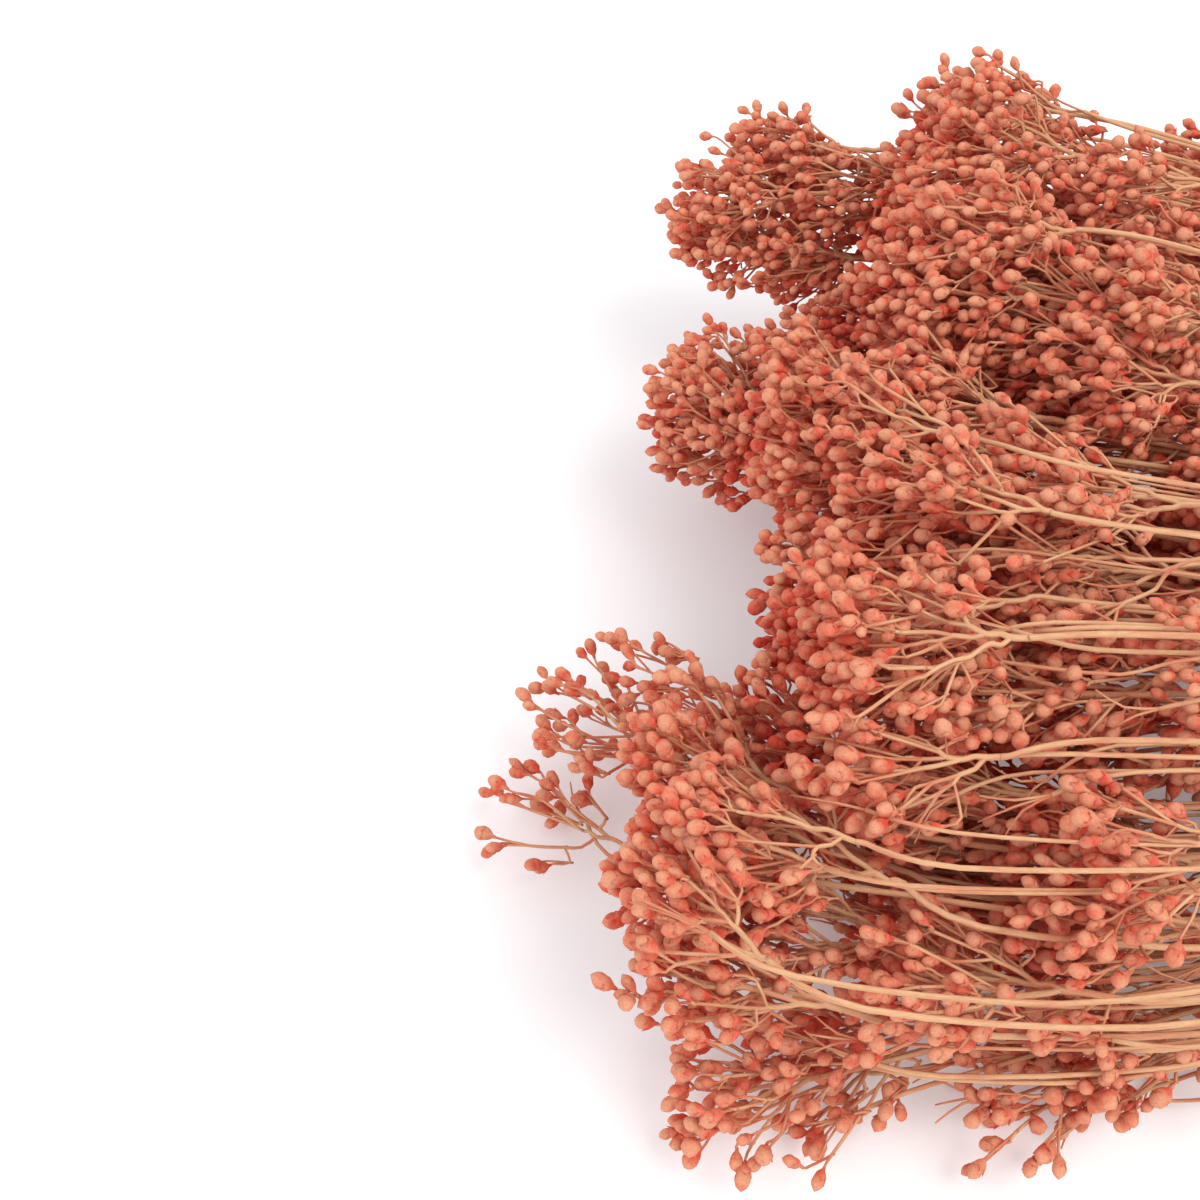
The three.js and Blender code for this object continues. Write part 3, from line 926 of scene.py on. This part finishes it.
def make_twigs(name, material):
    """All twigs of a branch as one mesh of tubes, each with its own strip of the flat map."""
    corners, triangles, unrolled, fibres, uptakes, lengths = [], [], [], [], [], []
    count = 0
    for number, line in enumerate(branch_twigs(name)):
        rings, radii, places = tube_rings(line)
        steps = np.linalg.norm(np.diff(places, axis=0), axis=1)
        travelled = np.concatenate([[0], np.cumsum(steps)])
        faces, flat = twig_faces(len(rings))
        triangles.append(faces + count)
        unrolled.append(flat)
        lengths.append(travelled[-1])
        corners += [places[:1], rings.reshape(-1, 3), places[-1:]]
        fibre = np.empty((len(rings), TWIG_SIDES, 3))
        fibre[:, :, 0] = radii[:, None] * TWIG_COSINES + number * GRAIN_APART
        fibre[:, :, 1] = radii[:, None] * TWIG_SINES
        fibre[:, :, 2] = travelled[:, None] * GRAIN_STRETCH
        fibre = fibre.reshape(-1, 3)
        fibres += [fibre[:1], fibre, fibre[-1:]]
        stoutness = (radii - PEDICEL_RADIUS) / (twig_radius(STOUT_FED) - PEDICEL_RADIUS)
        uptake = PEDICEL_UPTAKE + (STOUT_UPTAKE - PEDICEL_UPTAKE) * np.clip(stoutness, 0, 1)
        # painted shade: twigs further under the top of the pile take more of the full dye
        uptake = uptake + DEPTH_SHADE_UPTAKE * depth_shade(places)
        uptakes += [uptake[:1], np.repeat(uptake, TWIG_SIDES), uptake[-1:]]
        count += len(rings) * TWIG_SIDES + 2
    lefts, levels, wanted, tall = pack_strips(np.array(lengths))
    free = np.array(STRIP_MARGIN)
    for number, flat in enumerate(unrolled):
        inside = free + (1 - 2 * free) * flat
        across = lefts[number] + wanted[number] * inside[..., 0]
        up = levels[number] + tall * inside[..., 1]
        unrolled[number] = np.stack([across, up], -1)
    return make_mesh(
        "twigs_" + name,
        np.concatenate(corners),
        np.concatenate(triangles),
        material,
        [
            ("fibre", "FLOAT_VECTOR", np.concatenate(fibres)),
            ("uptake", "FLOAT", np.concatenate(uptakes)),
        ],
        np.concatenate(unrolled),
    )


twig_dye = dyed_material(
    "dyed_stems",
    srgb(226, 176, 134),
    srgb(206, 98, 74),
    patch_size=900,
    relief_depth=0.12 * MM,
    place="fibre",
)
for name in branch_names:
    twigs = make_twigs(name, twig_dye)
    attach(twigs, "root")
    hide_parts("stem_" + name)

# ---- The seeds ----
# A seed is a small wrinkled papery ball. It sits in a cup of pointed bracts that flares from its
# pedicel, with a ragged edge. The ball dried pale; the cup holds the most dye.
BALL_SIDES = 8
BALL_PROFILE = (
    # how far up the seed, and the radius there as a share of the widest
    (0.3, 0.66),
    (0.42, 0.88),
    (0.56, 1.0),
    (0.7, 0.98),
    (0.84, 0.78),
    (0.94, 0.46),
)
BALL_FOOT = 0.2
BALL_TIPS = (1.0, 1.01, 1.06)  # how far up its dried beak ends
BALL_UPTAKE = ((0.3, 0.55), (0.55, 0.3), (0.85, 0.05), (1, 0.2))  # how far up, and the dye there
WRINKLE = 0.06
SEED_FATNESS = (0.9, 1.1)
SEED_LEAN = (0.1, 0.3)
CUP_SIDES = 10
CUP_PROFILE = ((-0.12, 0.2), (0.04, 0.3), (0.16, 0.54), (0.3, 0.8))
CUP_FOOT = -0.14
CUP_FLOOR = 0.25
CUP_FOLD = 0.07
CUP_GAP = 0.05  # between the cup's wall and the ball, as a share of the ball's radius
BRACT_TIPS = (0.5, 0.8)  # how far up the ball the points of the cup's edge reach
BRACT_NOTCHES = (0.34, 0.42)
BRACT_FLARE = (0.04, 0.26)  # how far every point stands off, and how much further some do
BRACT_THICKNESS = 0.07
SEED_KINDS = 10
SEED_WIDTHS = (0.9, 1.12)
SEED_TONES = 0.18  # how much more or less dye one seed took than another
# painted shade: the extra dye that seeds at the bottom of the pile take, over those on top
SEED_DEPTH_SHADE_UPTAKE = 0.55


def lathe_rings(rises, radii, turns):
    """Rings of corners about +Z, from arrays of how high and how wide each corner is."""
    x, y = radii * np.cos(turns), radii * np.sin(turns)
    z = np.broadcast_to(rises * SEED_LENGTH, x.shape)
    return np.stack([x * SEED_RADIUS, y * SEED_RADIUS, z], -1)


def seed_shape(kind):
    """The corners, triangles, flat map and dye uptake of one kind of seed, on its pedicel's end."""
    luck = np.random.default_rng(100 + kind)
    phases = luck.uniform(0, 2 * math.pi, 4)
    fat, lean = luck.uniform(*SEED_FATNESS), luck.uniform(*SEED_LEAN)
    turns = np.arange(BALL_SIDES) / BALL_SIDES * 2 * math.pi
    rises, radii = (np.array(column)[:, None] for column in zip(*BALL_PROFILE))
    wrinkle = 1 + WRINKLE * np.sin(2 * turns + phases[0] + 2 * rises)
    wrinkle = wrinkle + WRINKLE * np.sin(3 * turns + phases[1] - 5 * rises)
    ball = lathe_rings(rises, fat * radii * wrinkle, turns)
    foot, tip = (0, 0, BALL_FOOT * SEED_LENGTH), (0, 0, luck.choice(BALL_TIPS) * SEED_LENGTH)
    ball = np.vstack([foot, ball.reshape(-1, 3), tip])
    ball_faces, ball_map = skin_faces(len(BALL_PROFILE), BALL_SIDES)
    ball_uptake = np.interp(ball[:, 2] / SEED_LENGTH, *zip(*BALL_UPTAKE))
    # the cup: its wall follows the ball, and every second corner of its edge is a bract's tip
    uneven = luck.uniform(-0.25, 0.25, CUP_SIDES)
    turns = (np.arange(CUP_SIDES) + uneven) / CUP_SIDES * 2 * math.pi
    turns += phases[2]
    rises, radii = (np.array(column)[:, None] for column in zip(*CUP_PROFILE))
    folds = 1 + CUP_FOLD * np.cos(5 * (turns - phases[2])) * np.clip(4 * rises, 0, 1)
    wall = lathe_rings(rises, radii * fat * folds + CUP_GAP * (rises > 0.1), turns)
    points = np.arange(CUP_SIDES) % 2 == 0
    edge_of_points = luck.uniform(*BRACT_TIPS, CUP_SIDES)
    edge = np.where(points, edge_of_points, luck.uniform(*BRACT_NOTCHES, CUP_SIDES))
    least, most = BRACT_FLARE
    flare = np.where(points, least + most * luck.random(CUP_SIDES) ** 3, least)
    fits = np.interp(edge, *zip(*BALL_PROFILE)) * fat
    outer = lathe_rings(edge, fits + flare, turns)
    inner = lathe_rings(edge - 0.02, fits + flare - BRACT_THICKNESS, turns)
    cup = np.concatenate([wall, [outer, inner]])
    foot, floor = (0, 0, CUP_FOOT * SEED_LENGTH), (0, 0, CUP_FLOOR * SEED_LENGTH)
    cup = np.vstack([foot, cup.reshape(-1, 3), floor])
    cup_faces, cup_map = skin_faces(len(CUP_PROFILE) + 2, CUP_SIDES)
    cup_uptake = 0.5 + 0.2 * np.sin(cup[:, 2] / SEED_LENGTH * 9 + phases[3])
    corners = np.vstack([ball, cup])
    rise = corners[:, 2] / SEED_LENGTH
    corners[:, 0] += lean * rise**2 * math.cos(phases[3]) * SEED_RADIUS
    corners[:, 1] += lean * rise**2 * math.sin(phases[3]) * SEED_RADIUS
    triangles = np.vstack([ball_faces, cup_faces + len(ball)])
    # the ball takes the left half of the seed's square on the flat map, and the cup the right half
    ball_map = ball_map * (0.44, 0.92) + (0.03, 0.04)
    cup_map = cup_map * (0.44, 0.92) + (0.53, 0.04)
    uptake = np.concatenate([ball_uptake, cup_uptake])
    return corners, triangles, np.vstack([ball_map, cup_map]), uptake


seed_kinds = [seed_shape(kind) for kind in range(SEED_KINDS)]


def turned_to(headings, spins):
    """For each heading, the matrix that turns +Z to it, after a spin about +Z."""
    aside = np.cross(headings, (0.3, -0.2, 0.93))
    aside /= np.linalg.norm(aside, axis=1)[:, None]
    over = np.cross(headings, aside)
    x = np.cos(spins)[:, None] * aside + np.sin(spins)[:, None] * over
    y = np.cross(headings, x)
    return np.stack([x, y, headings], -1)


def make_seeds(name, material):
    """All seeds of a branch as one mesh, each with its own square of the flat map."""
    seeds = [seed for spray in sprays_of[name] for _, _, tuft in spray.tufts for seed in tuft]
    kinds = dice.integers(0, SEED_KINDS, len(seeds))
    widths = dice.uniform(*SEED_WIDTHS, len(seeds))
    tones = dice.uniform(-SEED_TONES, SEED_TONES, len(seeds))
    places, aims, scales = (np.array(column) for column in zip(*seeds))
    # painted shade: seeds further under the top of the pile take more of the full dye
    painted_shade = SEED_DEPTH_SHADE_UPTAKE * depth_shade(places)
    feet = places - 0.5 * SEED_LENGTH * scales[:, None] * aims
    turns = turned_to(aims, dice.uniform(0, 2 * math.pi, len(seeds)))
    across = math.ceil(math.sqrt(len(seeds)))
    corners, triangles, unrolled, uptakes = [], [], [], []
    count = done = 0
    for kind, (shape, faces, flat, uptake) in enumerate(seed_kinds):
        chosen = np.flatnonzero(kinds == kind)
        sides = np.stack([widths[chosen], widths[chosen], np.ones(len(chosen))], -1)
        stretch = scales[chosen, None] * sides
        placed = np.einsum("nij,nkj->nki", turns[chosen], shape * stretch[:, None])
        corners.append((placed + feet[chosen, None]).reshape(-1, 3))
        firsts = count + np.arange(len(chosen)) * len(shape)
        triangles.append((faces + firsts[:, None, None]).reshape(-1, 3))
        cells = np.stack(np.divmod(done + np.arange(len(chosen)), across), -1)
        unrolled.append(((flat + cells[:, None, None]) / across).reshape(-1, 3, 2))
        uptakes.append((uptake + (tones + painted_shade)[chosen, None]).ravel())
        count += len(chosen) * len(shape)
        done += len(chosen)
    return make_mesh(
        "seeds_of_" + name,
        np.concatenate(corners),
        np.concatenate(triangles),
        material,
        [("uptake", "FLOAT", np.concatenate(uptakes))],
        np.concatenate(unrolled),
    )


seed_dye = dyed_material(
    "dyed_seeds",
    srgb(229, 158, 124),
    srgb(224, 86, 64),
    patch_size=420,
    relief_depth=0.2 * MM,
)
for name in branch_names:
    seeds = make_seeds(name, seed_dye)
    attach(seeds, "root")
    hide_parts("seeds_" + name)

# ---- The table, the light and the camera ----
# A plain white light table, soft daylight from above and to the right, and a close camera that looks
# steeply down on the near left end of the head.
TABLE_REACH = 3.0
TABLE_WHITE = (0.86, 0.86, 0.87, 1)
TABLE_GLOW = 0.16
VIEW_HEIGHT = 0.048
LIGHTS = (
    # the name, the place from the middle of the view, the size, the watts and the colour
    ("window", (0.5, -0.35, 0.9), 0.7, 5.0, (1.0, 0.95, 0.9)),
    ("fill", (-0.7, -0.5, 0.7), 0.9, 2.7, (0.97, 0.97, 1.0)),
)
ROOM_COLOUR = (0.98, 0.98, 1.0, 1)
ROOM_LIGHT = 0.9
CAMERA_DISTANCE = 0.25
CAMERA_ELEVATION = math.radians(47)
CAMERA_LENS = 37.5


def make_floor():
    """The lit top of the table, larger than any view of the head needs."""
    corners = TABLE_REACH * np.array([(-1, -1, 0), (1, -1, 0), (1, 1, 0), (-1, 1, 0)])
    material = bpy.data.materials.new("pale_table")
    material.use_nodes = True
    shader = material.node_tree.nodes["Principled BSDF"]
    shader.inputs["Base Color"].default_value = TABLE_WHITE
    shader.inputs["Roughness"].default_value = 0.8
    shader.inputs["Emission Color"].default_value = (1, 1, 1, 1)
    shader.inputs["Emission Strength"].default_value = TABLE_GLOW
    return make_mesh("table", corners, np.array([(0, 1, 2), (0, 2, 3)]), material)


make_floor()


def add_light(name, place, target, size, watts, colour):
    """A round soft light at a place, turned to a target."""
    light = bpy.data.lights.new(name, "AREA")
    light.shape = "DISK"
    light.size = size
    light.energy = watts
    light.color = colour
    lamp = bpy.data.objects.new(name, light)
    lamp.location = place
    lamp.rotation_euler = (Vector(target) - Vector(place)).to_track_quat("-Z", "Y").to_euler()
    bpy.context.scene.collection.objects.link(lamp)


look_at = Vector(near_left) + Vector((0, 0, VIEW_HEIGHT))
for name, away, size, watts, colour in LIGHTS:
    add_light(name, look_at + Vector(away), look_at, size, watts, colour)

world = bpy.data.worlds.new("studio")
world.use_nodes = True
world.node_tree.nodes["Background"].inputs["Color"].default_value = ROOM_COLOUR
world.node_tree.nodes["Background"].inputs["Strength"].default_value = ROOM_LIGHT
bpy.context.scene.world = world
bpy.context.scene.view_settings.view_transform = "Standard"

camera_data = bpy.data.cameras.new("camera")
camera_data.lens = CAMERA_LENS
camera_data.sensor_width = 36
camera_data.clip_start = 0.01
camera = bpy.data.objects.new("camera", camera_data)
camera.location = look_at + CAMERA_DISTANCE * Vector(
    (0, -math.cos(CAMERA_ELEVATION), math.sin(CAMERA_ELEVATION))
)
camera.rotation_euler = (look_at - camera.location).to_track_quat("-Z", "Y").to_euler()
bpy.context.scene.collection.objects.link(camera)
bpy.context.scene.camera = camera
